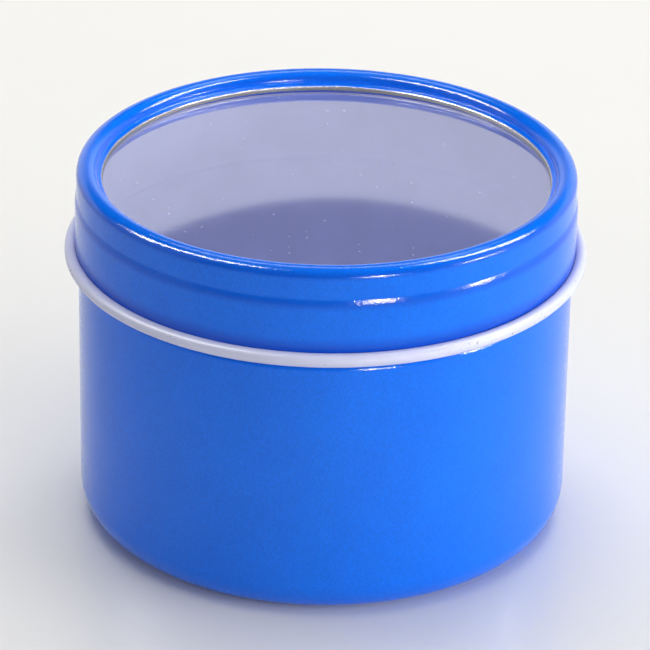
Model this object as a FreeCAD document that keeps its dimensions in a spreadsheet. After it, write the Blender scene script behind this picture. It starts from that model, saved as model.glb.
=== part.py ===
import FreeCAD, Part
import Sketcher
import math
import os

# A round tin with a slip-over lid and a clear window, in millimetres.
# The tin stands on z = 0 and its axis is z. Every piece is turned from one profile in the XZ plane.

doc = FreeCAD.newDocument("WindowLidTin")
sheet = doc.addObject("Spreadsheet::Sheet", "Sizes")

# Driving sizes
DRIVING_SIZES = (
    ("sheet_thickness", "0.3", "tinplate of the body and the lid"),
    ("body_diameter", "75.8", "body wall, outside"),
    ("rim_height", "54.8", "top of the body's rolled edge"),
    ("foot_radius", "5.5", "rounding between the wall and the base"),
    ("stand_width", "1.6", "flat ring that the tin stands on"),
    ("base_recess", "0.5", "how far the base panel is raised"),
    ("panel_slope", "5.0", "width of the slope from the standing ring up to the panel"),
    ("shoulder_height", "40.0", "where the wall starts to turn in"),
    ("shoulder_rise", "1.4", "height of the shoulder"),
    ("neck_inset", "0.4", "how far the neck lies inside the wall"),
    ("rim_roll_radius", "0.5", "inward roll of the body's edge"),
    ("seat_clearance", "0.1", "rim to the underside of the window"),
    ("neck_clearance", "0.3", "neck to the inside of the lid's band"),
    ("pane_thickness", "0.35", "window plastic"),
    ("pane_dish", "0.2", "how far the window sags at its middle"),
    ("pane_clearance", "0.05", "window's edge to the inside of the lid's band"),
    ("bead_radius", "1.6", "round crest of the lid"),
    ("lip_bend", "0.3", "turn from the crest into the lip"),
    ("lip_flat", "0.04", "flat top of the lip"),
    ("lip_turn", "0.4", "turn from the top of the lip down to its edge"),
    ("lip_drop", "0.85", "top of the lip to the window"),
    ("lip_lean_share", "0.27", "sine of the lean of the lip's turned-down edge"),
    ("lid_depth", "15.05", "crest to the bottom of the rolled edge"),
    ("step_drop", "4.9", "crest to the step in the lid's skirt"),
    ("step_length", "1.2", "height of the step"),
    ("step_out", "0.25", "how far the skirt widens at the step"),
    ("step_crease", "0.4", "tight turn at the top of the step"),
    ("flare_length", "0.6", "height of the flare above the rolled edge"),
    ("flare_out", "0.15", "how far the skirt flares"),
    ("hem_thickness", "1.8", "rolled edge, across"),
    ("hem_height", "2.1", "rolled edge, up"),
    ("tuck_share", "0.6", "part of the roll's opening that the tucked edge closes"),
)

# Sizes that follow from the driving ones
DERIVED_SIZES = (
    # Body: base and foot
    ("wall_radius", "body_diameter / 2"),
    ("wall_inside", "wall_radius - sheet_thickness"),
    ("foot_edge", "wall_radius - foot_radius"),
    ("foot_inside_bend", "foot_radius - sheet_thickness"),
    ("stand_edge", "foot_edge - stand_width"),
    ("panel_edge", "stand_edge - panel_slope"),
    ("panel_reach", "(panel_slope ^ 2 + base_recess ^ 2) / (2 * base_recess)"),
    ("panel_bend_wide", "(panel_reach + sheet_thickness) / 2"),
    ("panel_bend_tight", "(panel_reach - sheet_thickness) / 2"),
    ("panel_under_radius", "stand_edge - panel_slope * panel_bend_wide / panel_reach"),
    ("panel_under_height", "base_recess * panel_bend_wide / panel_reach"),
    ("panel_over_radius", "stand_edge - panel_slope * panel_bend_tight / panel_reach"),
    ("panel_over_height", "sheet_thickness + base_recess * panel_bend_tight / panel_reach"),
    ("panel_top", "base_recess + sheet_thickness"),
    # Body: shoulder and neck
    ("neck_radius", "wall_radius - neck_inset"),
    ("neck_inside", "neck_radius - sheet_thickness"),
    ("neck_foot", "shoulder_height + shoulder_rise"),
    ("shoulder_reach", "(shoulder_rise ^ 2 + neck_inset ^ 2) / (2 * neck_inset)"),
    ("shoulder_bend_wide", "(shoulder_reach + sheet_thickness) / 2"),
    ("shoulder_bend_tight", "(shoulder_reach - sheet_thickness) / 2"),
    ("shoulder_out_radius", "wall_radius - neck_inset * shoulder_bend_wide / shoulder_reach"),
    ("shoulder_out_height", "shoulder_height + shoulder_rise * shoulder_bend_wide / shoulder_reach"),
    ("shoulder_in_radius", "wall_inside - neck_inset * shoulder_bend_tight / shoulder_reach"),
    ("shoulder_in_height", "shoulder_height + shoulder_rise * shoulder_bend_tight / shoulder_reach"),
    # Body: edge rolled inwards
    ("rim_centre_radius", "neck_radius - rim_roll_radius"),
    ("rim_centre_height", "rim_height - rim_roll_radius"),
    ("rim_inner_radius", "rim_centre_radius - rim_roll_radius"),
    ("rim_roll_bottom", "rim_centre_height - rim_roll_radius"),
    ("rim_hollow_bend", "rim_roll_radius - sheet_thickness"),
    ("rim_hollow_radius", "rim_inner_radius + sheet_thickness"),
    ("rim_hollow_bottom", "rim_roll_bottom + sheet_thickness"),
    ("rim_hollow_top", "rim_height - sheet_thickness"),
    # Levels of the window, above the rim
    ("pane_underside", "rim_height + seat_clearance"),
    ("pane_top", "pane_underside + pane_thickness"),
    # Lid: lip and crest
    ("band_inside", "neck_radius + neck_clearance"),
    ("band_radius", "band_inside + sheet_thickness"),
    ("lip_top", "pane_top + lip_drop"),
    ("lip_underside", "lip_top - sheet_thickness"),
    ("bead_centre_height", "lip_top + lip_bend"),
    ("crest_height", "bead_centre_height + bead_radius"),
    ("bead_centre_radius", "band_radius - bead_radius"),
    ("bead_inner_radius", "bead_centre_radius - bead_radius"),
    ("bead_hollow_bend", "bead_radius - sheet_thickness"),
    ("bead_hollow_radius", "bead_inner_radius + sheet_thickness"),
    ("bead_hollow_top", "crest_height - sheet_thickness"),
    ("lip_bend_radius", "bead_inner_radius - lip_bend"),
    ("lip_under_bend", "lip_bend + sheet_thickness"),
    ("lip_turn_inside", "lip_turn - sheet_thickness"),
    ("lip_turn_radius", "lip_bend_radius - lip_flat"),
    ("lip_turn_height", "lip_top - lip_turn"),
    ("lip_upright_share", "sqrt(1 - lip_lean_share ^ 2)"),
    ("lip_slope_share", "lip_lean_share / lip_upright_share"),
    ("lip_out_radius", "lip_turn_radius - lip_turn * lip_upright_share"),
    ("lip_out_height", "lip_turn_height + lip_turn * lip_lean_share"),
    ("lip_in_radius", "lip_turn_radius - lip_turn_inside * lip_upright_share"),
    ("lip_in_height", "lip_turn_height + lip_turn_inside * lip_lean_share"),
    ("lip_radius", "lip_out_radius - (lip_out_height - pane_top) * lip_slope_share"),
    ("lip_edge_radius", "lip_in_radius - (lip_in_height - pane_top) * lip_slope_share"),
    # Window: flat under the lip and dished inside it
    ("pane_radius", "band_inside - pane_clearance"),
    ("dish_bend", "(lip_radius ^ 2 + pane_dish ^ 2) / (2 * pane_dish)"),
    ("dish_underside", "pane_underside - pane_dish"),
    ("dish_top", "pane_top - pane_dish"),
    # Lid: step in the skirt
    ("skirt_radius", "band_radius + step_out"),
    ("skirt_inside", "skirt_radius - sheet_thickness"),
    ("step_top", "crest_height - step_drop"),
    ("step_foot", "step_top - step_length"),
    ("step_reach", "(step_length ^ 2 + step_out ^ 2) / (2 * step_out)"),
    ("step_round", "step_reach - step_crease"),
    ("step_crease_inside", "step_crease + sheet_thickness"),
    ("step_round_inside", "step_round - sheet_thickness"),
    ("step_out_radius", "band_radius + step_out * step_crease / step_reach"),
    ("step_out_height", "step_top - step_length * step_crease / step_reach"),
    ("step_in_radius", "band_inside + step_out * step_crease_inside / step_reach"),
    ("step_in_height", "step_top - step_length * step_crease_inside / step_reach"),
    # Lid: flare and rolled edge
    ("hem_bottom", "crest_height - lid_depth"),
    ("hem_top", "hem_bottom + hem_height"),
    ("flare_top", "hem_top + flare_length"),
    ("leaf_radius", "skirt_radius + flare_out"),
    ("leaf_inside", "leaf_radius - sheet_thickness"),
    ("flare_reach", "(flare_length ^ 2 + flare_out ^ 2) / (2 * flare_out)"),
    ("flare_bend_wide", "(flare_reach + sheet_thickness) / 2"),
    ("flare_bend_tight", "(flare_reach - sheet_thickness) / 2"),
    ("flare_out_radius", "skirt_radius + flare_out * flare_bend_tight / flare_reach"),
    ("flare_out_height", "flare_top - flare_length * flare_bend_tight / flare_reach"),
    ("flare_in_radius", "skirt_inside + flare_out * flare_bend_wide / flare_reach"),
    ("flare_in_height", "flare_top - flare_length * flare_bend_wide / flare_reach"),
    ("hem_bend", "hem_thickness / 2"),
    ("hem_hollow_bend", "hem_bend - sheet_thickness"),
    ("curl_radius", "leaf_inside + hem_thickness"),
    ("hem_centre_radius", "curl_radius - hem_bend"),
    ("hem_low_centre", "hem_bottom + hem_bend"),
    ("hem_high_centre", "hem_top - hem_bend"),
    ("hem_hollow_radius", "curl_radius - sheet_thickness"),
    ("hem_hollow_bottom", "hem_bottom + sheet_thickness"),
    ("hem_hollow_top", "hem_top - sheet_thickness"),
    ("tuck_radius", "hem_centre_radius - (hem_centre_radius - leaf_radius) * tuck_share"),
)


def fill_sheet():
    """Writes the driving sizes as plain numbers and the others as formulas."""
    row = 0
    for name, value, note in DRIVING_SIZES:
        row += 1
        sheet.set(f"A{row}", note)
        sheet.set(f"B{row}", value)
        sheet.setAlias(f"B{row}", name)
    doc.recompute()
    for name, formula in DERIVED_SIZES:
        row += 1
        sheet.set(f"A{row}", name.replace("_", " "))
        sheet.set(f"B{row}", f"={formula}")
        sheet.setAlias(f"B{row}", name)
        doc.recompute()


# The profiles. Each corner gives its distance from the axis, its height and the run that leaves it:
# straight, or an arc of the named radius that turns left or right as the profile is followed.
AXIS = None
GROUND = None
STRAIGHT = None


def left(radius):
    """An arc with its centre on the left of the way."""
    return radius, 1


def right(radius):
    """An arc with its centre on the right of the way."""
    return radius, -1


BODY_PROFILE = (
    # Underside of the panel, standing ring and foot
    (AXIS, "base_recess", STRAIGHT),
    ("panel_edge", "base_recess", right("panel_bend_tight")),
    ("panel_under_radius", "panel_under_height", left("panel_bend_wide")),
    ("stand_edge", GROUND, STRAIGHT),
    ("foot_edge", GROUND, left("foot_radius")),
    # Wall, shoulder and neck, outside
    ("wall_radius", "foot_radius", STRAIGHT),
    ("wall_radius", "shoulder_height", left("shoulder_bend_wide")),
    ("shoulder_out_radius", "shoulder_out_height", right("shoulder_bend_tight")),
    ("neck_radius", "neck_foot", STRAIGHT),
    # Edge rolled over the top, inwards and down, and back through its hollow
    ("neck_radius", "rim_centre_height", left("rim_roll_radius")),
    ("rim_centre_radius", "rim_height", left("rim_roll_radius")),
    ("rim_inner_radius", "rim_centre_height", left("rim_roll_radius")),
    ("rim_centre_radius", "rim_roll_bottom", STRAIGHT),
    ("rim_centre_radius", "rim_hollow_bottom", right("rim_hollow_bend")),
    ("rim_hollow_radius", "rim_centre_height", right("rim_hollow_bend")),
    ("rim_centre_radius", "rim_hollow_top", right("rim_hollow_bend")),
    # Neck, shoulder, wall and foot, inside
    ("neck_inside", "rim_centre_height", STRAIGHT),
    ("neck_inside", "neck_foot", left("shoulder_bend_wide")),
    ("shoulder_in_radius", "shoulder_in_height", right("shoulder_bend_tight")),
    ("wall_inside", "shoulder_height", STRAIGHT),
    ("wall_inside", "foot_radius", right("foot_inside_bend")),
    ("foot_edge", "sheet_thickness", STRAIGHT),
    # Top of the base panel
    ("stand_edge", "sheet_thickness", right("panel_bend_tight")),
    ("panel_over_radius", "panel_over_height", left("panel_bend_wide")),
    ("panel_edge", "panel_top", STRAIGHT),
    (AXIS, "panel_top", STRAIGHT),
)

WINDOW_PROFILE = (
    (AXIS, "dish_underside", left("dish_bend")),
    ("lip_radius", "pane_underside", STRAIGHT),
    ("pane_radius", "pane_underside", STRAIGHT),
    ("pane_radius", "pane_top", STRAIGHT),
    ("lip_radius", "pane_top", right("dish_bend")),
    (AXIS, "dish_top", STRAIGHT),
)

LID_PROFILE = (
    # Edge of the lip, its underside, the hollow of the crest and the inside of the band
    ("lip_radius", "pane_top", STRAIGHT),
    ("lip_edge_radius", "pane_top", STRAIGHT),
    ("lip_in_radius", "lip_in_height", right("lip_turn_inside")),
    ("lip_turn_radius", "lip_underside", STRAIGHT),
    ("lip_bend_radius", "lip_underside", left("lip_under_bend")),
    ("bead_hollow_radius", "bead_centre_height", right("bead_hollow_bend")),
    ("bead_centre_radius", "bead_hollow_top", right("bead_hollow_bend")),
    ("band_inside", "bead_centre_height", STRAIGHT),
    ("band_inside", "step_top", left("step_crease_inside")),
    ("step_in_radius", "step_in_height", right("step_round_inside")),
    ("skirt_inside", "step_foot", STRAIGHT),
    # Flare, inside, and the edge rolled outwards and up
    ("skirt_inside", "flare_top", left("flare_bend_wide")),
    ("flare_in_radius", "flare_in_height", right("flare_bend_tight")),
    ("leaf_inside", "hem_top", STRAIGHT),
    ("leaf_inside", "hem_low_centre", left("hem_bend")),
    ("hem_centre_radius", "hem_bottom", left("hem_bend")),
    ("curl_radius", "hem_low_centre", STRAIGHT),
    ("curl_radius", "hem_high_centre", left("hem_bend")),
    ("hem_centre_radius", "hem_top", STRAIGHT),
    # Tucked edge, and back through the hollow of the roll
    ("tuck_radius", "hem_top", STRAIGHT),
    ("tuck_radius", "hem_hollow_top", STRAIGHT),
    ("hem_centre_radius", "hem_hollow_top", right("hem_hollow_bend")),
    ("hem_hollow_radius", "hem_high_centre", STRAIGHT),
    ("hem_hollow_radius", "hem_low_centre", right("hem_hollow_bend")),
    ("hem_centre_radius", "hem_hollow_bottom", right("hem_hollow_bend")),
    ("leaf_radius", "hem_low_centre", STRAIGHT),
    # Flare, skirt, step and band, outside
    ("leaf_radius", "hem_top", left("flare_bend_wide")),
    ("flare_out_radius", "flare_out_height", right("flare_bend_tight")),
    ("skirt_radius", "flare_top", STRAIGHT),
    ("skirt_radius", "step_foot", left("step_round")),
    ("step_out_radius", "step_out_height", right("step_crease")),
    ("band_radius", "step_top", STRAIGHT),
    # Crest, top of the lip and its turned-down edge
    ("band_radius", "bead_centre_height", left("bead_radius")),
    ("bead_centre_radius", "crest_height", left("bead_radius")),
    ("bead_inner_radius", "bead_centre_height", right("lip_bend")),
    ("lip_bend_radius", "lip_top", STRAIGHT),
    ("lip_turn_radius", "lip_top", left("lip_turn")),
    ("lip_out_radius", "lip_out_height", STRAIGHT),
)


def size(name):
    """The value of a named size, or zero on the axis and on the ground."""
    return float(getattr(sheet, name)) if name else 0.0


def place(corner):
    """The corner's point in the sketch's plane."""
    across, up, _ = corner
    return FreeCAD.Vector(size(across), size(up), 0)


def arc_between(start, end, radius, turn):
    """The short arc from start to end with its centre on the side that turn gives."""
    chord = end - start
    middle = (start + end) / 2
    aside = FreeCAD.Vector(-chord.y, chord.x, 0).normalize() * turn
    reach = math.sqrt(max(radius ** 2 - (chord.Length / 2) ** 2, 0))
    centre = middle + aside * reach
    circle = Part.Circle(centre, FreeCAD.Vector(0, 0, 1), radius)
    first, last = (start, end) if turn > 0 else (end, start)
    angles = [math.atan2(point.y - centre.y, point.x - centre.x) for point in (first, last)]
    return Part.ArcOfCircle(circle, *angles)


def bind(sketch, constraint, label, name):
    """Adds a dimension under a label and binds it to the named size."""
    index = sketch.addConstraint(constraint)
    sketch.renameConstraint(index, label)
    sketch.setExpression(f"Constraints.{label}", f"Sizes.{name}")


def draw_profile(sketch, corners):
    """Draws the closed profile and ties every corner and bend to the sheet."""
    origin, horizontal, vertical = (-1, 1), -1, -2
    ends = []
    for number, corner in enumerate(corners):
        start = place(corner)
        end = place(corners[(number + 1) % len(corners)])
        bend = corner[2]
        if bend:
            sketch.addGeometry(arc_between(start, end, size(bend[0]), bend[1]))
        else:
            sketch.addGeometry(Part.LineSegment(start, end))
        ends.append((1, 2) if not bend or bend[1] > 0 else (2, 1))
    for number in range(len(corners)):
        following = (number + 1) % len(corners)
        joint = (number, ends[number][1], following, ends[following][0])
        sketch.addConstraint(Sketcher.Constraint("Coincident", *joint))
    for number, (across, up, bend) in enumerate(corners):
        point = (number, ends[number][0])
        if across is AXIS:
            sketch.addConstraint(Sketcher.Constraint("PointOnObject", *point, vertical))
        else:
            dimension = Sketcher.Constraint("DistanceX", *origin, *point, size(across))
            bind(sketch, dimension, f"across_{number}", across)
        if up is GROUND:
            sketch.addConstraint(Sketcher.Constraint("PointOnObject", *point, horizontal))
        else:
            dimension = Sketcher.Constraint("DistanceY", *origin, *point, size(up))
            bind(sketch, dimension, f"up_{number}", up)
        if bend:
            dimension = Sketcher.Constraint("Radius", number, size(bend[0]))
            bind(sketch, dimension, f"bend_{number}", bend[0])


def turned_piece(label, corners):
    """A body turned all the way round the axis from one profile."""
    body = doc.addObject("PartDesign::Body", label)
    body.Label = label
    sketch = body.newObject("Sketcher::SketchObject", f"{label}_profile")
    plane = [feature for feature in body.Origin.OriginFeatures if feature.Role == "XZ_Plane"][0]
    sketch.AttachmentSupport = (plane, [""])
    sketch.MapMode = "FlatFace"
    draw_profile(sketch, corners)
    turn = body.newObject("PartDesign::Revolution", f"{label}_turn")
    turn.Profile = sketch
    turn.ReferenceAxis = (sketch, ["V_Axis"])
    turn.Angle = 360
    return body


def check_document(pieces):
    """Stops the build if any object failed or any piece is not one valid solid."""
    for item in doc.Objects:
        if "Invalid" in item.State or "Error" in item.State:
            raise RuntimeError(f"{item.Label} failed: {item.State}")
    for piece in pieces:
        shape = piece.Shape
        if shape.isNull() or not shape.isValid() or len(shape.Solids) != 1:
            raise RuntimeError(f"{piece.Label} is not one valid solid")


fill_sheet()
tin_body = turned_piece("tin_body", BODY_PROFILE)
lid_shell = turned_piece("lid_shell", LID_PROFILE)
window_pane = turned_piece("window_pane", WINDOW_PROFILE)
PIECES = (tin_body, lid_shell, window_pane)
doc.recompute()
check_document(PIECES)

os.makedirs("parts", exist_ok=True)
for piece in PIECES:
    piece.Shape.exportStep(f"parts/{piece.Label}.step")
    print(f"{piece.Label}: {piece.Shape.Volume:.1f} cubic millimetres")
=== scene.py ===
"""A round blue tin with a slip-over window lid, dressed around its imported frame.

Lengths of the tin are in millimetres, as a tin maker writes them, and become metres when a mesh is made.
Lengths of the studio and the camera are in metres.
"""

import logging
import math
from dataclasses import dataclass, field
from enum import Enum
from typing import Any, Iterable, Union

import bpy
from mathutils import Euler, Matrix, Quaternion, Vector


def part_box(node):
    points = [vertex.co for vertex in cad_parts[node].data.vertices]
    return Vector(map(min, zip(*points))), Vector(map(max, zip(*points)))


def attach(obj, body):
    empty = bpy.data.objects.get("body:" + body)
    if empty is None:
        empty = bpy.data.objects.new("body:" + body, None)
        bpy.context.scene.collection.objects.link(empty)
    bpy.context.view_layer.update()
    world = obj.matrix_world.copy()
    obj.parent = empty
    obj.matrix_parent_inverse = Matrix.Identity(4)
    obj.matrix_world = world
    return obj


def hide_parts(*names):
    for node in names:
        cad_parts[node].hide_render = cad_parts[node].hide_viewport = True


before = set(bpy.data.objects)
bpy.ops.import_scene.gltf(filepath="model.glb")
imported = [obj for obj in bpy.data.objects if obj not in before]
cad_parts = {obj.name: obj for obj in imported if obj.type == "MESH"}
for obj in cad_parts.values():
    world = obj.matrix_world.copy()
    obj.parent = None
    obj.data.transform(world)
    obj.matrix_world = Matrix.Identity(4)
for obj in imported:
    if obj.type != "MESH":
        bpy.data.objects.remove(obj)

LOG = logging.getLogger("window_lid_tin")
MM = 0.001
LEVEL, UPRIGHT = 0.0, math.radians(90)
NOISE_MIDDLE = 0.5
WHITE = (1.0, 1.0, 1.0)

# Numbers of the Mix node's sockets for colours, whose names it uses more than once
MIX_SHARE, MIX_FIRST, MIX_SECOND, MIX_RESULT = 0, 6, 7, 2

# Numbers of the Mix Shader node's sockets
SHADER_SHARE, SHADER_FIRST, SHADER_SECOND = 0, 1, 2

Colour = tuple[float, float, float]
Point = tuple[float, float]
Span = tuple[float, float]
Value = Union["Wire", float]


class Turn(Enum):
    """Which side of the way an arc of a profile has its centre on."""

    LEFT = 1
    RIGHT = -1


class Coat(Enum):
    """The material slots of a piece of lacquered sheet, in order."""

    OUTSIDE = 0
    INSIDE = 1
    CUT_EDGE = 2


class Shine(Enum):
    """How a lamp acts: on everything, without a highlight, or as a highlight on the tin alone."""

    FULL = 0
    SOFT = 1
    GLINT = 2


class Wire:
    """A shader socket that does arithmetic, each operation adding a Math node."""

    def __init__(self, graph: "Graph", socket: bpy.types.NodeSocket | None) -> None:
        """Wraps a socket of the graph."""
        self.graph = graph
        self.socket = socket

    def _math(self, operation: str, first: Value, second: Value) -> "Wire":
        """Adds one Math node on two values."""
        return self.graph.node("ShaderNodeMath", {"operation": operation}, {0: first, 1: second})

    def __add__(self, other: Value) -> "Wire":
        """Sum."""
        return self._math("ADD", self, other)

    def __sub__(self, other: Value) -> "Wire":
        """Difference."""
        return self._math("SUBTRACT", self, other)

    def __mul__(self, other: Value) -> "Wire":
        """Product."""
        return self._math("MULTIPLY", self, other)

    def __truediv__(self, other: Value) -> "Wire":
        """Quotient."""
        return self._math("DIVIDE", self, other)

    def __radd__(self, other: Value) -> "Wire":
        """Sum, with the number first."""
        return self._math("ADD", other, self)

    def __rsub__(self, other: Value) -> "Wire":
        """Difference, with the number first."""
        return self._math("SUBTRACT", other, self)

    def __rmul__(self, other: Value) -> "Wire":
        """Product, with the number first."""
        return self._math("MULTIPLY", other, self)

    def __rtruediv__(self, other: Value) -> "Wire":
        """Quotient, with the number first."""
        return self._math("DIVIDE", other, self)

    def larger(self, other: Value) -> "Wire":
        """The larger of two values."""
        return self._math("MAXIMUM", self, other)

    def rise(self, low: float, high: float) -> "Wire":
        """A smooth step.

        Args:
            low: The value at which the step starts.
            high: The value at which it ends, below low for a falling step.

        Returns:
            A value from 0 at low to 1 at high.
        """
        if low > high:
            return 1.0 - self.rise(high, low)
        sockets = {"Value": self, "From Min": low, "From Max": high}
        return self.graph.node("ShaderNodeMapRange", {"interpolation_type": "SMOOTHSTEP"}, sockets)


@dataclass(frozen=True)
class Grain:
    """A noise: the size of one lump in millimetres, how many finer layers it has, and which one it is."""

    size: float
    detail: float
    seed: float


class Graph:
    """The node tree of one material or of the world."""

    def __init__(self, tree: bpy.types.NodeTree) -> None:
        """Empties the tree and takes it over."""
        self.tree = tree
        tree.nodes.clear()

    def node(self, kind: str, settings: dict[str, Any] | None = None,
             sockets: dict[str | int, Any] | None = None, output: str | int = 0) -> Wire:
        """Adds a node.

        Args:
            kind: The node's type.
            settings: Its own properties, set before its sockets.
            sockets: Input name or number to a value or a wire.
            output: Name or number of the output to return.

        Returns:
            The chosen output, or an empty wire from a node that ends the tree.
        """
        made = self.tree.nodes.new(kind)
        for name, value in (settings or {}).items():
            setattr(made, name, value)
        for name, value in (sockets or {}).items():
            if isinstance(value, Wire):
                self.tree.links.new(value.socket, made.inputs[name])
            else:
                made.inputs[name].default_value = value
        return Wire(self, made.outputs[output] if len(made.outputs) else None)

    def noise(self, grain: Grain) -> Wire:
        """Soft noise fixed to the piece.

        Args:
            grain: What the noise is like.

        Returns:
            A value around NOISE_MIDDLE.
        """
        sockets = {
            "Vector": self.node("ShaderNodeTexCoord", output="Object"),
            "W": grain.seed,
            "Scale": 1.0 / (grain.size * MM),
            "Detail": grain.detail,
        }
        return self.node("ShaderNodeTexNoise", {"noise_dimensions": "4D"}, sockets)

    def mix(self, share: Value, first: Colour | Wire, second: Colour | Wire) -> Wire:
        """Mixes two colours.

        Args:
            share: How much of the second one shows.
            first: The colour at a share of 0.
            second: The colour at a share of 1.

        Returns:
            The mixed colour.
        """
        first, second = (part if isinstance(part, Wire) else opaque(part) for part in (first, second))
        sockets = {MIX_SHARE: share, MIX_FIRST: first, MIX_SECOND: second}
        return self.node("ShaderNodeMix", {"data_type": "RGBA"}, sockets, output=MIX_RESULT)

    def polar(self) -> tuple[Wire, Wire]:
        """Where a point of the tin is.

        Returns:
            Its distance from the tin's axis and its level, both in millimetres.
        """
        place = {"Vector": self.node("ShaderNodeTexCoord", output="Object")}
        split = "ShaderNodeSeparateXYZ"
        across, along, up = (self.node(split, sockets=place, output=axis) for axis in "XYZ")
        radius = self.node("ShaderNodeMath", {"operation": "SQRT"}, {0: across * across + along * along})
        return radius * (1.0 / MM), up * (1.0 / MM)

    def bump(self, height: Wire) -> Wire:
        """A normal bent by a height in metres."""
        return self.node("ShaderNodeBump", sockets={"Height": height, "Distance": 1.0})

    def coat(self, sockets: dict[str | int, Any]) -> Wire:
        """A shader for a lacquer, metal, cloth or plastic."""
        return self.node("ShaderNodeBsdfPrincipled", sockets=sockets)

    def blend(self, share: Value, first: Wire, second: Wire) -> Wire:
        """Mixes two shaders by a share of the second."""
        sockets = {SHADER_SHARE: share, SHADER_FIRST: first, SHADER_SECOND: second}
        return self.node("ShaderNodeMixShader", sockets=sockets)

    def show(self, shader: Wire) -> None:
        """Ends a material with its shader."""
        self.node("ShaderNodeOutputMaterial", sockets={"Surface": shader})


def opaque(colour: Colour) -> tuple[float, float, float, float]:
    """A colour with full alpha."""
    return (*colour, 1.0)


def grey(level: float) -> Colour:
    """A colour without a hue."""
    return (level, level, level)


def shaded(colour: Colour, share: float) -> Colour:
    """A colour times a share."""
    red, green, blue = colour
    return red * share, green * share, blue * share


def new_material(name: str) -> tuple[bpy.types.Material, Graph]:
    """A material with an empty node tree.

    Args:
        name: The material's name.

    Returns:
        The material and its graph.
    """
    material = bpy.data.materials.new(name)
    material.use_nodes = True
    return material, Graph(material.node_tree)


@dataclass(frozen=True)
class PaintedShadeBand:
    """A band of painted shade round the tin, a deeper blue where creases and slopes are shaded: its level,
    half its height and its strength.
    """

    level: float
    reach: float
    share: float

    def cover(self, level: Wire) -> Wire:
        """How much of the painted shade is at a level."""
        off = (level - self.level).larger(self.level - level)
        return off.rise(self.reach, 0.0) * self.share


@dataclass(frozen=True)
class BareEdge:
    """Tin that lost its coat inside a radius and below a level, rougher further down and darkened there by
    painted shade near the lip's foot.
    """

    radius: float
    level: float
    tin: Colour = (0.56, 0.56, 0.57)
    # painted shade: the darker tin near the lip's foot, where it meets the window
    shade_darkened_tin: Colour = (0.17, 0.17, 0.175)
    added_roughness: float = 0.16
    dull_roughness: float = 0.34
    radius_fade: float = 0.1
    level_fade: float = 0.05
    shade_and_dull_drop: Span = (0.1, 0.22)
    ripple: Grain = Grain(7.0, 1.0, 8.0)
    ripple_reach: float = 0.3
    ripple_depth: float = 0.12

    def cover(self, radius: Wire, level: Wire, ripple: Wire) -> Wire:
        """Where the tin is bare.

        Args:
            radius: Distance from the axis.
            level: Height on the tin.
            ripple: The noise that the coat's end wanders by.

        Returns:
            A value of 1 on bare tin and 0 on the coat.
        """
        wandering = level + (ripple - NOISE_MIDDLE) * self.ripple_reach
        below = wandering.rise(self.level + self.level_fade, self.level - self.level_fade)
        return below * radius.rise(self.radius + self.radius_fade, self.radius)

    def shade_and_dullness(self, level: Wire) -> Wire:
        """How rough the bare tin is at a level, and how much painted shade darkens it."""
        start, end = self.shade_and_dull_drop
        return level.rise(self.level - start, self.level - end)


@dataclass(frozen=True)
class BlueLacquer:
    """The satin-gloss blue coat outside, with a fine grain and orange peel, darker in bands of painted
    shade.
    """

    name: str
    shade_bands: tuple[PaintedShadeBand, ...] = ()
    bare_edge: BareEdge | None = None
    base: Colour = (0.0015, 0.18, 0.96)
    deep: Colour = (0.001, 0.12, 0.72)
    # painted shade: the deeper blue of the shaded bands
    painted_shade: Colour = (0.0005, 0.07, 0.6)
    cloud: Grain = Grain(9.0, 2.0, 3.0)
    cloud_span: Span = (0.25, 0.75)
    cloud_share: float = 0.2
    grain: Grain = Grain(0.28, 1.0, 5.0)
    grain_span: Span = (0.34, 0.66)
    grain_share: float = 0.45
    grain_depth: float = 0.032
    peel: Grain = Grain(1.3, 2.0, 0.0)
    peel_depth: float = 0.008
    roughness: float = 0.11
    roughness_swing: float = 0.1
    specular_level: float = 0.32
    sheen: float = 0.08
    sheen_roughness: float = 0.25

    def material(self) -> bpy.types.Material:
        """Builds the coat, with its bare edge where it has one.

        Returns:
            The finished material.
        """
        material, graph = new_material(self.name)
        radius, level = graph.polar()
        cloud, grain = graph.noise(self.cloud), graph.noise(self.grain)
        clouded = cloud.rise(*self.cloud_span) * self.cloud_share
        grained = grain.rise(*self.grain_span) * self.grain_share
        colour = graph.mix(clouded + grained, self.base, self.deep)
        # painted shade in bands at the crest's shoulder, on the step and above the roll
        for shade_band in self.shade_bands:
            colour = graph.mix(shade_band.cover(level), colour, self.painted_shade)
        roughness = self.roughness + (grain - NOISE_MIDDLE) * self.roughness_swing
        height = graph.noise(self.peel) * (self.peel_depth * MM) + grain * (self.grain_depth * MM)
        sockets = {
            "Specular IOR Level": self.specular_level,
            "Sheen Weight": self.sheen,
            "Sheen Roughness": self.sheen_roughness,
        }
        if self.bare_edge:
            edge = self.bare_edge
            ripple = graph.noise(edge.ripple)
            bare, dull = edge.cover(radius, level, ripple), edge.shade_and_dullness(level)
            # painted shade darkens the bare tin towards the lip's foot; the added roughness is real
            # dullness
            colour = graph.mix(bare, colour, graph.mix(dull, edge.tin, edge.shade_darkened_tin))
            roughness = roughness + bare * (dull * edge.dull_roughness + edge.added_roughness)
            height = height + ripple * (edge.ripple_depth * MM) * bare
            sockets["Metallic"] = bare
        sockets.update({"Base Color": colour, "Roughness": roughness, "Normal": graph.bump(height)})
        graph.show(graph.coat(sockets))
        return material


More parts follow.
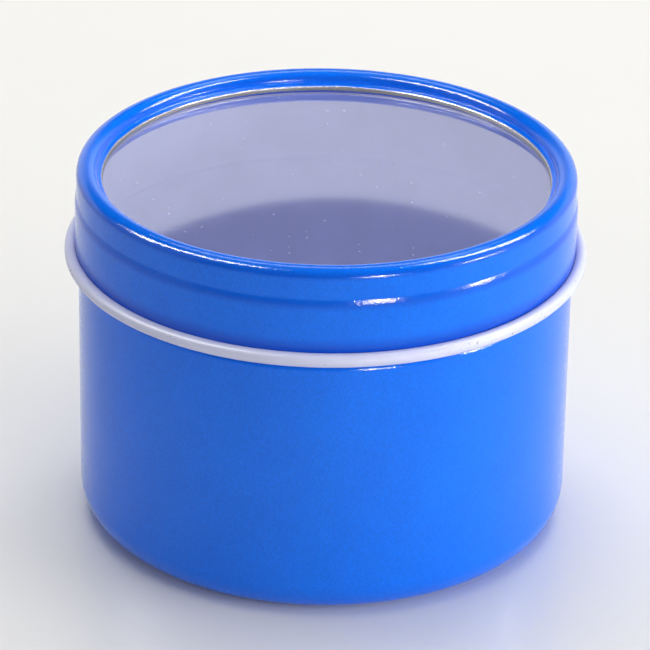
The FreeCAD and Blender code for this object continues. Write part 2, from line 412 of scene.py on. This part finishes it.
@dataclass(frozen=True)
class WhiteLacquer:
    """The white coat inside, cool partly because painted blue bounce light is in its colour, with small
    worn spots where it shows on the lid's rolled edge.
    """

    name: str
    # partly painted light: the blue tint of light bounced from the blue lacquer
    base: Colour = (0.635, 0.655, 0.87)
    dim_share: float = 0.94
    cloud: Grain = Grain(6.0, 3.0, 11.0)
    cloud_span: Span = (0.3, 0.7)
    grain: Grain = Grain(0.5, 2.0, 13.0)
    grain_depth: float = 0.003
    roughness: float = 0.45
    roughness_swing: float = 0.1
    spots_outside: float = 0.0
    spots_fade: float = 0.1
    spot: Colour = (0.16, 0.16, 0.17)
    spot_place: Grain = Grain(4.5, 0.0, 17.0)
    spot_place_span: Span = (0.60, 0.66)
    spot_fleck: Grain = Grain(0.42, 1.0, 23.0)
    spot_fleck_span: Span = (0.66, 0.71)

    def material(self) -> bpy.types.Material:
        """Builds the coat, with worn spots outside the radius spots_outside where that is given.

        Returns:
            The finished material.
        """
        material, graph = new_material(self.name)
        cloud, grain = graph.noise(self.cloud), graph.noise(self.grain)
        colour = graph.mix(cloud.rise(*self.cloud_span), self.base, shaded(self.base, self.dim_share))
        if self.spots_outside:
            colour = graph.mix(self._worn(graph), colour, self.spot)
        graph.show(graph.coat({
            "Base Color": colour,
            "Roughness": self.roughness + (cloud - NOISE_MIDDLE) * self.roughness_swing,
            "Normal": graph.bump(grain * (self.grain_depth * MM)),
        }))
        return material

    def _worn(self, graph: Graph) -> Wire:
        """Where the coat is chipped.

        Args:
            graph: The coat's graph.

        Returns:
            A value of 1 in a spot and 0 on the coat.
        """
        radius, _ = graph.polar()
        place = graph.noise(self.spot_place).rise(*self.spot_place_span)
        fleck = graph.noise(self.spot_fleck).rise(*self.spot_fleck_span)
        outer = radius.rise(self.spots_outside - self.spots_fade, self.spots_outside + self.spots_fade)
        return place * fleck * outer


@dataclass(frozen=True)
class CutTin:
    """The bare edge of the sheet where it was sheared, with the shear's fine streaks."""

    name: str
    base: Colour = (0.66, 0.65, 0.64)
    dull_share: float = 0.7
    streak: Grain = Grain(0.12, 2.0, 29.0)
    streak_span: Span = (0.35, 0.7)
    roughness: float = 0.34
    roughness_swing: float = 0.2

    def material(self) -> bpy.types.Material:
        """Builds the metal.

        Returns:
            The finished material.
        """
        material, graph = new_material(self.name)
        streak = graph.noise(self.streak)
        dull = shaded(self.base, self.dull_share)
        graph.show(graph.coat({
            "Base Color": graph.mix(streak.rise(*self.streak_span), self.base, dull),
            "Metallic": 1.0,
            "Roughness": self.roughness + (streak - NOISE_MIDDLE) * self.roughness_swing,
        }))
        return material


@dataclass(frozen=True)
class ClearFilm:
    """The clear plastic of the window, with a little dust on it."""

    name: str = "clear_film"
    tint: Colour = (0.945, 0.945, 1.0)
    index: float = 1.52
    roughness: float = 0.02
    dust: Colour = (0.85, 0.85, 0.88)
    dust_roughness: float = 0.9
    dust_cell: float = 2.6
    dust_chance: Span = (0.7, 1.0)
    dust_radius_share: float = 0.075
    dust_edge_share: float = 0.04
    dust_cover: float = 0.5

    def material(self) -> bpy.types.Material:
        """Builds a sheet that is looked through and mirrors as both its faces do, dusty on top.

        Returns:
            The finished material.
        """
        material, graph = new_material(self.name)
        outside = 1.0 - graph.node("ShaderNodeNewGeometry", output="Backfacing")
        face = graph.node("ShaderNodeFresnel", sockets={"IOR": self.index})
        mirror = outside * (2.0 * face) / (1.0 + face)
        clear = graph.node("ShaderNodeBsdfTransparent", sockets={"Color": opaque(self.tint)})
        gloss = graph.coat({"Base Color": opaque(WHITE), "Metallic": 1.0, "Roughness": self.roughness})
        fluff = graph.coat({"Base Color": opaque(self.dust), "Roughness": self.dust_roughness})
        graph.show(graph.blend(self._specks(graph) * outside, graph.blend(mirror, clear, gloss), fluff))
        return material

    def _specks(self, graph: Graph) -> Wire:
        """Where dust lies: in some of the cells of a pattern, one speck in the middle of each.

        Args:
            graph: The film's graph.

        Returns:
            How much the dust hides.
        """
        place = graph.node("ShaderNodeTexCoord", output="Object")
        sockets = {"Vector": place, "Scale": 1.0 / (self.dust_cell * MM)}
        flat = {"voronoi_dimensions": "2D"}
        middle_gap = graph.node("ShaderNodeTexVoronoi", flat, sockets, output="Distance")
        draw = graph.node("ShaderNodeTexVoronoi", flat, sockets, output="Color")
        chance = graph.node("ShaderNodeSeparateColor", sockets={"Color": draw}, output="Red")
        size = chance.rise(*self.dust_chance) * self.dust_radius_share
        return (size - middle_gap).rise(0.0, self.dust_edge_share) * self.dust_cover


@dataclass(frozen=True)
class GlossyTable:
    """The plain pale table top, which mirrors a little."""

    name: str = "pale_table"
    base: Colour = (0.872, 0.862, 0.825)
    shade_share: float = 0.99
    cloud: Grain = Grain(60.0, 2.0, 31.0)
    cloud_span: Span = (0.3, 0.7)
    roughness: float = 0.3
    index: float = 1.6

    def material(self) -> bpy.types.Material:
        """Builds the table's surface.

        Returns:
            The finished material.
        """
        material, graph = new_material(self.name)
        cloud = graph.noise(self.cloud).rise(*self.cloud_span)
        graph.show(graph.coat({
            "Base Color": graph.mix(cloud, self.base, shaded(self.base, self.shade_share)),
            "Roughness": self.roughness,
            "IOR": self.index,
        }))
        return material


@dataclass(frozen=True)
class LitPaper:
    """Evenly lit paper, bright behind the table and dim in front of it."""

    name: str = "lit_paper"
    brightness: float = 1.1

    def material(self) -> bpy.types.Material:
        """Builds the lit surface.

        Returns:
            The finished material.
        """
        material, graph = new_material(self.name)
        colour = opaque(grey(self.brightness))
        graph.show(graph.node("ShaderNodeEmission", sockets={"Color": colour, "Strength": 1.0}))
        return material


@dataclass(frozen=True)
class DarkCloth:
    """The dark cloth of the flag behind the paper, of the ceiling and of the round card."""

    name: str = "dark_cloth"
    base: Colour = (0.03, 0.03, 0.035)
    light_share: float = 1.3
    weave: Grain = Grain(8.0, 2.0, 41.0)
    roughness: float = 0.9

    def material(self) -> bpy.types.Material:
        """Builds the cloth's dull surface.

        Returns:
            The finished material.
        """
        material, graph = new_material(self.name)
        weave = graph.noise(self.weave)
        graph.show(graph.coat({
            "Base Color": graph.mix(weave, self.base, shaded(self.base, self.light_share)),
            "Roughness": self.roughness,
        }))
        return material


@dataclass
class Profile:
    """Half the section of a turned sheet: distances from the axis and heights, in millimetres."""

    points: list[Point] = field(default_factory=list)
    steps_per_half_turn: int = 40
    fewest_steps: int = 3

    def to(self, radius: float, height: float) -> "Profile":
        """Goes straight to a point."""
        self.points.append((radius, height))
        return self

    def bend(self, radius: float, height: float, bend: float, turn: Turn) -> "Profile":
        """Goes to a point on the shorter arc of a circle.

        Args:
            radius: Distance of the arc's end from the axis.
            height: Height of the arc's end.
            bend: Radius of the arc.
            turn: The side of its centre.

        Returns:
            The profile itself.
        """
        start, end = Vector(self.points[-1]), Vector((radius, height))
        chord = end - start
        half = chord.length / 2
        aside = Vector((-chord.y, chord.x)).normalized() * turn.value
        centre = (start + end) / 2 + aside * math.sqrt(max(bend ** 2 - half ** 2, 0.0))
        sweep = 2 * math.asin(min(half / bend, 1.0)) * turn.value
        first = math.atan2(start.y - centre.y, start.x - centre.x)
        steps = max(self.fewest_steps, round(self.steps_per_half_turn * abs(sweep) / math.pi))
        for step in range(1, steps):
            angle = first + sweep * step / steps
            self.to(centre.x + bend * math.cos(angle), centre.y + bend * math.sin(angle))
        return self.to(radius, height)

    def ease(self, radius: float, height: float, first_bend: float, turn: Turn) -> "Profile":
        """Goes to a point by two arcs that leave and arrive straight up or down.

        Args:
            radius: Distance of the end from the axis.
            height: Height of the end.
            first_bend: Radius of the first arc; the second takes what is left.
            turn: The side of the first arc's centre.

        Returns:
            The profile itself.
        """
        start_radius, start_height = self.points[-1]
        out, rise = radius - start_radius, height - start_height
        both_bends = (rise ** 2 + out ** 2) / (2 * abs(out))
        share = first_bend / both_bends
        back = Turn.RIGHT if turn is Turn.LEFT else Turn.LEFT
        self.bend(start_radius + out * share, start_height + rise * share, first_bend, turn)
        return self.bend(radius, height, both_bends - first_bend, back)


@dataclass
class SpunSheet:
    """A piece of sheet turned about the tin's axis, with its coats on its two sides."""

    name: str
    profile: Profile
    thickness: float
    outside: Turn = Turn.RIGHT
    around: int = 256
    merge_gap: float = 0.0005
    edge_round: float = 0.05
    edge_segments: int = 2
    edge_angle: float = 60.0
    smooth_angle: float = 32.0

    def build(self) -> bpy.types.Object:
        """Draws the profile, spins it and gives the sheet its thickness.

        Returns:
            The finished object, at the origin, with faces in the slots that Coat names.
        """
        bpy.ops.object.select_all(action="DESELECT")
        bpy.ops.mesh.primitive_plane_add(size=MM)
        piece = bpy.context.object
        piece.name = piece.data.name = self.name
        bpy.ops.object.mode_set(mode="EDIT")
        self._draw()
        self._spin()
        bpy.ops.object.mode_set(mode="OBJECT")
        if not self._faces_out(piece):
            self._flip()
        self._thicken(piece)
        self._round_edges(piece)
        bpy.ops.object.shade_smooth_by_angle(angle=math.radians(self.smooth_angle))
        return piece

    def _draw(self) -> None:
        """Shrinks the plane to one corner and draws the profile from it."""
        bpy.ops.mesh.merge(type="CENTER")
        places = [Vector((radius, 0.0, height)) * MM for radius, height in self.profile.points]
        bpy.ops.transform.translate(value=places[0])
        for before, after in zip(places, places[1:]):
            bpy.ops.mesh.extrude_region_move(TRANSFORM_OT_translate={"value": after - before})

    def _spin(self) -> None:
        """Turns the profile round the axis and closes the seam and the poles."""
        bpy.ops.mesh.select_all(action="SELECT")
        bpy.ops.mesh.spin(steps=self.around, angle=math.tau, center=(0, 0, 0), axis=(0, 0, 1))
        bpy.ops.mesh.select_all(action="SELECT")
        bpy.ops.mesh.remove_doubles(threshold=self.merge_gap * MM)
        bpy.ops.mesh.normals_make_consistent(inside=False)

    def _faces_out(self, piece: bpy.types.Object) -> bool:
        """Whether the spun surface faces the profile's outside.

        Args:
            piece: The spun surface.

        Returns:
            True if the face on its largest straight run does.
        """
        runs = list(zip(self.profile.points, self.profile.points[1:]))
        start, end = max(runs, key=lambda run: math.dist(*run) * (run[0][0] + run[1][0]))
        middle = (Vector(start) + Vector(end)) / 2 * MM
        outward = Vector((start[1] - end[1], end[0] - start[0])) * self.outside.value
        face = min(piece.data.polygons, key=lambda face: (in_section(face.center) - middle).length)
        radial = Vector((face.center.x, face.center.y)).normalized()
        across = face.normal.x * radial.x + face.normal.y * radial.y
        return across * outward.x + face.normal.z * outward.y > 0

    @staticmethod
    def _flip() -> None:
        """Turns the active mesh inside out."""
        bpy.ops.object.mode_set(mode="EDIT")
        bpy.ops.mesh.select_all(action="SELECT")
        bpy.ops.mesh.flip_normals()
        bpy.ops.object.mode_set(mode="OBJECT")

    def _thicken(self, piece: bpy.types.Object) -> None:
        """Adds the sheet's thickness behind its outside, each side with its own slot.

        Args:
            piece: The spun surface.
        """
        for _ in Coat:
            piece.data.materials.append(None)
        bpy.ops.object.modifier_add(type="SOLIDIFY")
        wall = piece.modifiers[-1]
        wall.thickness = self.thickness * MM
        wall.offset = -1.0
        wall.use_even_offset = True
        wall.material_offset = Coat.INSIDE.value
        wall.material_offset_rim = Coat.CUT_EDGE.value
        bpy.ops.object.modifier_apply(modifier=wall.name)

    def _round_edges(self, piece: bpy.types.Object) -> None:
        """Rounds the sheet's cut edges a little.

        Args:
            piece: The sheet with its thickness.
        """
        bpy.ops.object.modifier_add(type="BEVEL")
        edge = piece.modifiers[-1]
        edge.width = self.edge_round * MM
        edge.segments = self.edge_segments
        edge.limit_method = "ANGLE"
        edge.angle_limit = math.radians(self.edge_angle)
        bpy.ops.object.modifier_apply(modifier=edge.name)


def in_section(place: Vector) -> Vector:
    """A place's distance from the axis and its height."""
    return Vector((math.hypot(place.x, place.y), place.z))


def put_on_coats(piece: bpy.types.Object, coats: dict[Coat, bpy.types.Material]) -> None:
    """Puts each coat's material in its slot.

    Args:
        piece: A spun sheet.
        coats: The material of each side and of the cut edge.
    """
    for coat, material in coats.items():
        piece.data.materials[coat.value] = material


@dataclass
class TinBody:
    """The drawn cup: raised base panel, standing ring, rounded foot, wall, shoulder, neck, rolled rim."""

    wall_radius: float
    rim_height: float
    sheet: float = 0.3
    foot_radius: float = 5.5
    stand_width: float = 1.6
    base_recess: float = 0.5
    panel_slope: float = 5.0
    panel_ring_shares: tuple[float, ...] = (0.4, 0.75, 1.0)
    shoulder_height: float = 41.4
    shoulder_rise: float = 1.4
    neck_inset: float = 0.4
    rim_roll: float = 0.5
    # painted light: the body's copy of the white coat, brighter than the lid's, for how the inside is lit
    bounce_lit_inside_white: Colour = (0.745, 0.785, 0.985)

    def profile(self) -> Profile:
        """Draws the outside face of the cup.

        Returns:
            The profile from the middle of the base to the end of the rolled rim.
        """
        stand = self.wall_radius - self.foot_radius - self.stand_width
        panel = stand - self.panel_slope
        panel_bends = (self.panel_slope ** 2 + self.base_recess ** 2) / (2 * self.base_recess)
        low_bend = (panel_bends + self.sheet) / 2
        low_share = low_bend / panel_bends
        neck = self.wall_radius - self.neck_inset
        shoulder_bends = (self.shoulder_rise ** 2 + self.neck_inset ** 2) / (2 * self.neck_inset)
        shoulder_bend = (shoulder_bends + self.sheet) / 2
        roll, roll_height = neck - self.rim_roll, self.rim_height - self.rim_roll
        line = Profile().to(0.0, self.base_recess)
        for share in self.panel_ring_shares:
            line.to(panel * share, self.base_recess)
        turn = (stand - self.panel_slope * low_share, self.base_recess * low_share)
        line.bend(*turn, panel_bends - low_bend, Turn.RIGHT).bend(stand, 0.0, low_bend, Turn.LEFT)
        line.to(stand + self.stand_width, 0.0)
        line.bend(self.wall_radius, self.foot_radius, self.foot_radius, Turn.LEFT)
        line.to(self.wall_radius, self.shoulder_height)
        line.ease(neck, self.shoulder_height + self.shoulder_rise, shoulder_bend, Turn.LEFT)
        line.to(neck, roll_height)
        line.bend(roll, self.rim_height, self.rim_roll, Turn.LEFT)
        line.bend(roll - self.rim_roll, roll_height, self.rim_roll, Turn.LEFT)
        return line.bend(roll, roll_height - self.rim_roll, self.rim_roll, Turn.LEFT)

    def build(self) -> bpy.types.Object:
        """Makes the cup."""
        return SpunSheet("tin_body_shell", self.profile(), self.sheet).build()

    def dress(self, piece: bpy.types.Object) -> None:
        """Gives the cup its coats and puts it on its body.

        Args:
            piece: The cup.
        """
        put_on_coats(piece, {
            Coat.OUTSIDE: BlueLacquer("body_blue_lacquer").material(),
            Coat.INSIDE: WhiteLacquer("body_white_lacquer", base=self.bounce_lit_inside_white).material(),
            Coat.CUT_EDGE: CutTin("body_cut_tin").material(),
        })
        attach(piece, "tin")
        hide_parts("tin_body")


@dataclass
class LidShell:
    """The drawn ring: lip, round crest, band, step, skirt and outward roll."""

    curl_radius: float
    crest_height: float
    hem_bottom: float
    sheet: float = 0.3
    bead_radius: float = 1.6
    lip_bend: float = 0.3
    lip_flat: float = 0.04
    lip_turn: float = 0.4
    lip_drop: float = 0.85
    lip_lean_share: float = 0.27
    lip_coated_share: float = 1 / 3
    step_drop: float = 4.7
    step_length: float = 1.55
    step_out: float = 0.25
    step_crease: float = 0.6
    hem_thickness: float = 1.95
    hem_height: float = 2.1
    tuck_angle: float = 42.0
    # where on the crest's shoulder the band of painted shade lies
    bead_shade_drop: float = 0.65
    spots_gap: float = 0.65

    @property
    def skirt_radius(self) -> float:
        """Outside of the skirt, from the step down into the roll."""
        return self.curl_radius - self.hem_thickness + self.sheet

    @property
    def band_radius(self) -> float:
        """Outside of the band above the step."""
        return self.skirt_radius - self.step_out

    @property
    def step_top(self) -> float:
        """Level at which the step starts."""
        return self.crest_height - self.step_drop

    @property
    def hem_top(self) -> float:
        """Level of the top of the roll."""
        return self.hem_bottom + self.hem_height

    @property
    def lip_top(self) -> float:
        """Level of the top of the lip."""
        return self.crest_height - self.bead_radius - self.lip_bend

    @property
    def lip_upright_share(self) -> float:
        """Cosine of the lean of the lip's turned-down edge."""
        return math.sqrt(1.0 - self.lip_lean_share ** 2)

    @property
    def lip_turn_radius(self) -> float:
        """Where the top of the lip starts to turn down."""
        return self.band_radius - 2 * self.bead_radius - self.lip_bend - self.lip_flat

    @property
    def lip_face_top(self) -> Point:
        """Upper end of the turned-down edge's straight face."""
        out = self.lip_turn_radius - self.lip_turn * self.lip_upright_share
        return out, self.lip_top - self.lip_turn * (1.0 - self.lip_lean_share)

    @property
    def lip_foot(self) -> Point:
        """Lower end of that face, where the sheet's far corner meets the window.

        Returns:
            Its distance from the axis and its level.
        """
        radius, height = self.lip_face_top
        foot = self.lip_top - self.lip_drop + self.sheet * self.lip_lean_share
        return radius - (height - foot) * self.lip_lean_share / self.lip_upright_share, foot

    def profile(self) -> Profile:
        """Draws the outside face of the ring.

        Returns:
            The profile from the edge of the lip to the tucked end of the roll.
        """
        bead_height = self.crest_height - self.bead_radius
        bead = self.band_radius - self.bead_radius
        hem = self.curl_radius - self.hem_thickness / 2
        hollow = self.hem_thickness / 2 - self.sheet
        low, high = self.hem_bottom + self.hem_thickness / 2, self.hem_top - self.hem_thickness / 2
        tuck = math.radians(self.tuck_angle)
        line = Profile().to(*self.lip_foot).to(*self.lip_face_top)
        line.bend(self.lip_turn_radius, self.lip_top, self.lip_turn, Turn.RIGHT)
        line.to(self.lip_turn_radius + self.lip_flat, self.lip_top)
        line.bend(bead - self.bead_radius, bead_height, self.lip_bend, Turn.LEFT)
        line.bend(bead, self.crest_height, self.bead_radius, Turn.RIGHT)
        line.bend(self.band_radius, bead_height, self.bead_radius, Turn.RIGHT)
        line.to(self.band_radius, self.step_top)
        line.ease(self.skirt_radius, self.step_top - self.step_length, self.step_crease, Turn.LEFT)
        line.to(self.skirt_radius, low)
        line.bend(hem, low - hollow, hollow, Turn.LEFT).bend(hem + hollow, low, hollow, Turn.LEFT)
        line.to(hem + hollow, high).bend(hem, high + hollow, hollow, Turn.LEFT)
        return line.bend(hem - hollow * math.sin(tuck), high + hollow * math.cos(tuck), hollow, Turn.LEFT)

    def build(self) -> bpy.types.Object:
        """Makes the ring."""
        return SpunSheet("lid_ring_shell", self.profile(), self.sheet, Turn.LEFT).build()

    def blue(self) -> BlueLacquer:
        """Lays the blue coat out on the ring.

        Returns:
            The coat, with painted shade on the crest's shoulder, on the step and above the roll, and worn
            off the lip, whose bare tin has painted shade near its foot.
        """
        crest_shoulder = self.crest_height - self.bead_radius * self.bead_shade_drop
        # painted shade bands where the ring's creases and slopes are shaded
        shade_bands = (
            PaintedShadeBand(crest_shoulder, reach=0.9, share=0.6),
            PaintedShadeBand(self.step_top - self.step_length / 2, reach=1.2, share=0.6),
            PaintedShadeBand(self.hem_top, reach=2.4, share=0.85),
        )
        coated = self.lip_turn * self.lip_coated_share
        lip = BareEdge(self.lip_turn_radius + self.lip_flat, self.lip_top - coated)
        return BlueLacquer("lid_blue_lacquer", shade_bands, lip)

    def dress(self, piece: bpy.types.Object) -> None:
        """Gives the ring its coats and puts it on its body.

        Args:
            piece: The ring.
        """
        spots_outside = self.skirt_radius + self.spots_gap
        put_on_coats(piece, {
            Coat.OUTSIDE: self.blue().material(),
            Coat.INSIDE: WhiteLacquer("lid_white_lacquer", spots_outside=spots_outside).material(),
            Coat.CUT_EDGE: CutTin("lid_cut_tin").material(),
        })
        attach(piece, "lid")
        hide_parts("lid_shell")


@dataclass
class WindowPane:
    """The clear disc under the lip, sagging a little at its middle."""

    radius: float
    top: float
    lip_radius: float
    thickness: float = 0.35
    dish: float = 0.2
    dish_rings: int = 24

    def profile(self) -> Profile:
        """Draws the upper face of the disc.

        Returns:
            The profile from its edge to its middle.
        """
        line = Profile().to(self.radius, self.top)
        for ring in range(self.dish_rings + 1):
            share = 1.0 - ring / self.dish_rings
            line.to(self.lip_radius * share, self.top - self.dish * (1.0 - share ** 2))
        return line

    def build(self) -> bpy.types.Object:
        """Makes the disc."""
        return SpunSheet("window_film", self.profile(), self.thickness).build()

    def dress(self, piece: bpy.types.Object) -> None:
        """Gives the disc its clear plastic and puts it on its body.

        Args:
            piece: The disc.
        """
        film = ClearFilm().material()
        put_on_coats(piece, {coat: film for coat in Coat})
        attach(piece, "lid")
        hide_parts("window_pane")


@dataclass(frozen=True)
class Softbox:
    """A flat lamp aimed at the tin, placed by bearing (0 behind the tin, 90 to the right) and height angle.

    Its lean turns it about its own aim. Angles are in degrees.
    """

    name: str
    bearing: float
    height_angle: float
    distance: float
    width: float
    height: float
    watts: float
    shine: Shine = Shine.FULL
    lean: float = 0.0
    aim_height: float = 0.03

    def build(self, tin: bpy.types.Collection) -> None:
        """Hangs the lamp.

        Args:
            tin: The pieces of the tin, which are all that a lamp for glints acts on.
        """
        lamp = bpy.data.lights.new(self.name, "AREA")
        lamp.shape = "RECTANGLE"
        lamp.size, lamp.size_y = self.width, self.height
        lamp.energy = self.watts
        turn, tip = math.radians(self.bearing), math.radians(self.height_angle)
        away = Vector((math.sin(turn) * math.cos(tip), math.cos(turn) * math.cos(tip), math.sin(tip)))
        lean = Quaternion((0.0, 0.0, 1.0), math.radians(self.lean))
        hung = bpy.data.objects.new(self.name, lamp)
        hung.location = Vector((0.0, 0.0, self.aim_height)) + away * self.distance
        hung.rotation_mode = "QUATERNION"
        hung.rotation_quaternion = (-away).to_track_quat("-Z", "Y") @ lean
        hung.visible_glossy = self.shine is not Shine.SOFT
        if self.shine is Shine.GLINT:
            hung.visible_diffuse = False
            hung.light_linking.receiver_collection = tin
        bpy.context.scene.collection.objects.link(hung)


@dataclass(frozen=True)
class Studio:
    """The table, the papers behind and in front of it, the dark cloths, the lamps and the pale room."""

    table_size: float = 6.0
    paper_distance: float = 0.82
    paper_height: float = 0.445
    paper_width: float = 4.0
    flag_gap: float = 0.01
    ceiling_height: float = 1.7
    front_distance: float = 1.4
    front_level: float = 0.13
    cloth_width: float = 4.4
    card_radius: float = 0.26
    card_low: float = 0.4265
    card_aside: float = 0.004
    card_gap: float = 0.005
    card_sides: int = 180
    background: float = 0.62
    room_fill: float = 0.5
    lamps: tuple[Softbox, ...] = (
        Softbox("key_lamp", bearing=0.0, height_angle=86.0, distance=1.1,
                width=1.6, height=0.06, watts=1.0, shine=Shine.SOFT),
        Softbox("overhead_lamp", bearing=0.0, height_angle=90.0, distance=1.1,
                width=0.9, height=0.9, watts=4.5, shine=Shine.SOFT),
        Softbox("back_top_lamp", bearing=0.0, height_angle=62.0, distance=1.1,
                width=0.9, height=0.3, watts=4.7),
        Softbox("right_panel", bearing=108.0, height_angle=8.5, distance=0.9,
                width=0.6, height=0.24, watts=6.0, shine=Shine.SOFT),
        Softbox("front_right_panel", bearing=150.0, height_angle=8.0, distance=1.0,
                width=0.5, height=0.24, watts=0.7, shine=Shine.SOFT),
        Softbox("front_high_lamp", bearing=165.0, height_angle=55.0, distance=1.1,
                width=0.5, height=0.3, watts=0.6, shine=Shine.SOFT),
        Softbox("left_strip", bearing=-100.5, height_angle=47.5, distance=0.82,
                width=0.14, height=0.8, watts=16.0, shine=Shine.GLINT, lean=-43.0),
        Softbox("right_strip", bearing=85.0, height_angle=45.4, distance=0.84,
                width=0.14, height=0.66, watts=12.0, shine=Shine.GLINT, lean=18.0),
        Softbox("front_right_lamp", bearing=157.0, height_angle=4.5, distance=0.9,
                width=0.13, height=0.11, watts=5.0, shine=Shine.GLINT),
        Softbox("low_right_lamp", bearing=110.0, height_angle=3.0, distance=0.9,
                width=0.13, height=0.11, watts=5.0, shine=Shine.GLINT),
    )

    def build(self, pieces: Iterable[bpy.types.Object]) -> None:
        """Sets the studio up.

        Args:
            pieces: The pieces of the tin.
        """
        bpy.ops.object.select_all(action="DESELECT")
        table = self._table()
        cloth = DarkCloth().material()
        back = self.paper_distance + self.flag_gap
        depth = back + self.front_distance
        middle_height = self.ceiling_height / 2
        wall = (self.cloth_width, self.ceiling_height)
        paper = self._hang("lit_paper", (0.0, self.paper_distance, self.paper_height / 2),
                           (self.paper_width, self.paper_height), UPRIGHT, LitPaper().material())
        flag = self._hang("dark_flag", (0.0, back, middle_height), wall, UPRIGHT, cloth)
        front = self._hang("dim_front", (0.0, -self.front_distance, middle_height), wall, UPRIGHT,
                           LitPaper("dim_paper", self.front_level).material())
        front.visible_diffuse = front.visible_shadow = False
        ceiling = self._hang("dark_ceiling", (0.0, back - depth / 2, self.ceiling_height),
                             (self.cloth_width, depth), LEVEL, cloth)
        card = self._card(cloth)
        self._hang_lamps(pieces)
        self._light_room()

    def _table(self) -> bpy.types.Object:
        """Lays the table top.

        Returns:
            The table top.
        """
        bpy.ops.mesh.primitive_plane_add(size=self.table_size)
        table = bpy.context.object
        table.name = "table_top"
        table.data.materials.append(GlossyTable().material())
        return table

    @staticmethod
    def _hang(name: str, place: tuple[float, float, float], size: Point, tip: float,
              material: bpy.types.Material) -> bpy.types.Object:
        """Hangs a sheet in the studio, out of the camera's sight.

        Args:
            name: The sheet's name.
            place: Its middle.
            size: Its width and its height, or its depth if it is level.
            tip: Its turn about the X axis.
            material: What it is made of.

        Returns:
            The sheet.
        """
        bpy.ops.mesh.primitive_plane_add(size=1.0, location=place, rotation=(tip, 0.0, 0.0))
        sheet = bpy.context.object
        sheet.name = name
        sheet.scale = (*size, 1.0)
        sheet.visible_camera = False
        sheet.data.materials.append(material)
        return sheet

    def _card(self, cloth: bpy.types.Material) -> bpy.types.Object:
        """Hangs the round card that the window mirrors, in front of the upper edge of the paper.

        Args:
            cloth: What it is covered with.

        Returns:
            The card.
        """
        place = (self.card_aside, self.paper_distance - self.card_gap, self.card_low + self.card_radius)
        bpy.ops.mesh.primitive_circle_add(
            vertices=self.card_sides, radius=self.card_radius, fill_type="NGON",
            location=place, rotation=(UPRIGHT, 0.0, 0.0))
        card = bpy.context.object
        card.name = "round_dark_card"
        card.visible_camera = False
        card.data.materials.append(cloth)
        return card

    def _hang_lamps(self, pieces: Iterable[bpy.types.Object]) -> None:
        """Hangs the lamps, with the tin as what the glints act on.

        Args:
            pieces: The pieces of the tin.
        """
        tin = bpy.data.collections.new("tin_for_glints")
        for piece in pieces:
            tin.objects.link(piece)
        for lamp in self.lamps:
            lamp.build(tin)

    def _light_room(self) -> None:
        """Gives the room its fill, and a pale background for the camera and in what mirrors or is clear."""
        world = bpy.data.worlds.new("room")
        world.use_nodes = True
        bpy.context.scene.world = world
        graph = Graph(world.node_tree)
        mirrored = graph.node("ShaderNodeLightPath", output="Is Glossy Ray")
        seen = graph.node("ShaderNodeLightPath", output="Is Camera Ray")
        through = graph.node("ShaderNodeLightPath", output="Is Transmission Ray")
        shown = seen.larger(mirrored).larger(through)
        colour = graph.mix(shown, grey(self.room_fill), grey(self.background))
        light = graph.node("ShaderNodeBackground", sockets={"Color": colour, "Strength": 1.0})
        graph.node("ShaderNodeOutputWorld", sockets={"Surface": light})


@dataclass(frozen=True)
class PhotoCamera:
    """A long lens a little above the tin, as in the photograph, with its angles in degrees."""

    stand_off: float = 0.5611
    eye_height: float = 0.30878
    look_down: float = 26.389
    look_right: float = -0.0116
    tilt: float = 0.998
    lens_mm: float = 223.885
    sensor_mm: float = 36.0

    def build(self) -> None:
        """Sets the camera up."""
        made = bpy.data.cameras.new("photo_camera")
        made.lens = self.lens_mm
        made.sensor_width = self.sensor_mm
        camera = bpy.data.objects.new("photo_camera", made)
        tip, turn = UPRIGHT - math.radians(self.look_down), math.radians(self.look_right)
        level = Euler((tip, 0.0, turn)).to_matrix()
        turned = level @ Matrix.Rotation(math.radians(self.tilt), 3, "Z")
        camera.matrix_world = Matrix.Translation((0.0, -self.stand_off, self.eye_height)) @ turned.to_4x4()
        bpy.context.scene.collection.objects.link(camera)
        bpy.context.scene.camera = camera


def reach_of(node: str) -> tuple[float, float, float]:
    """A node's sizes.

    Args:
        node: A node of the frame.

    Returns:
        Its radius, lowest and highest level, in millimetres.
    """
    low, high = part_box(node)
    return high.x / MM, low.z / MM, high.z / MM


def main() -> None:
    """Builds and dresses the tin, its lid and its window, then the studio and the camera."""
    logging.basicConfig(level=logging.INFO, format="%(message)s")
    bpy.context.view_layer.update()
    wall_radius, _, rim_height = reach_of("tin_body")
    curl_radius, hem_bottom, crest_height = reach_of("lid_shell")
    pane_radius, _, pane_top = reach_of("window_pane")
    lid = LidShell(curl_radius, crest_height, hem_bottom)
    lip_radius, _ = lid.lip_foot
    pieces = []
    for part in (TinBody(wall_radius, rim_height), lid, WindowPane(pane_radius, pane_top, lip_radius)):
        piece = part.build()
        part.dress(piece)
        pieces.append(piece)
        LOG.info("%s: %d faces", piece.name, len(piece.data.polygons))
    Studio().build(pieces)
    PhotoCamera().build()
    bpy.context.scene.view_settings.view_transform = "Standard"


if __name__ == "__main__":
    main()
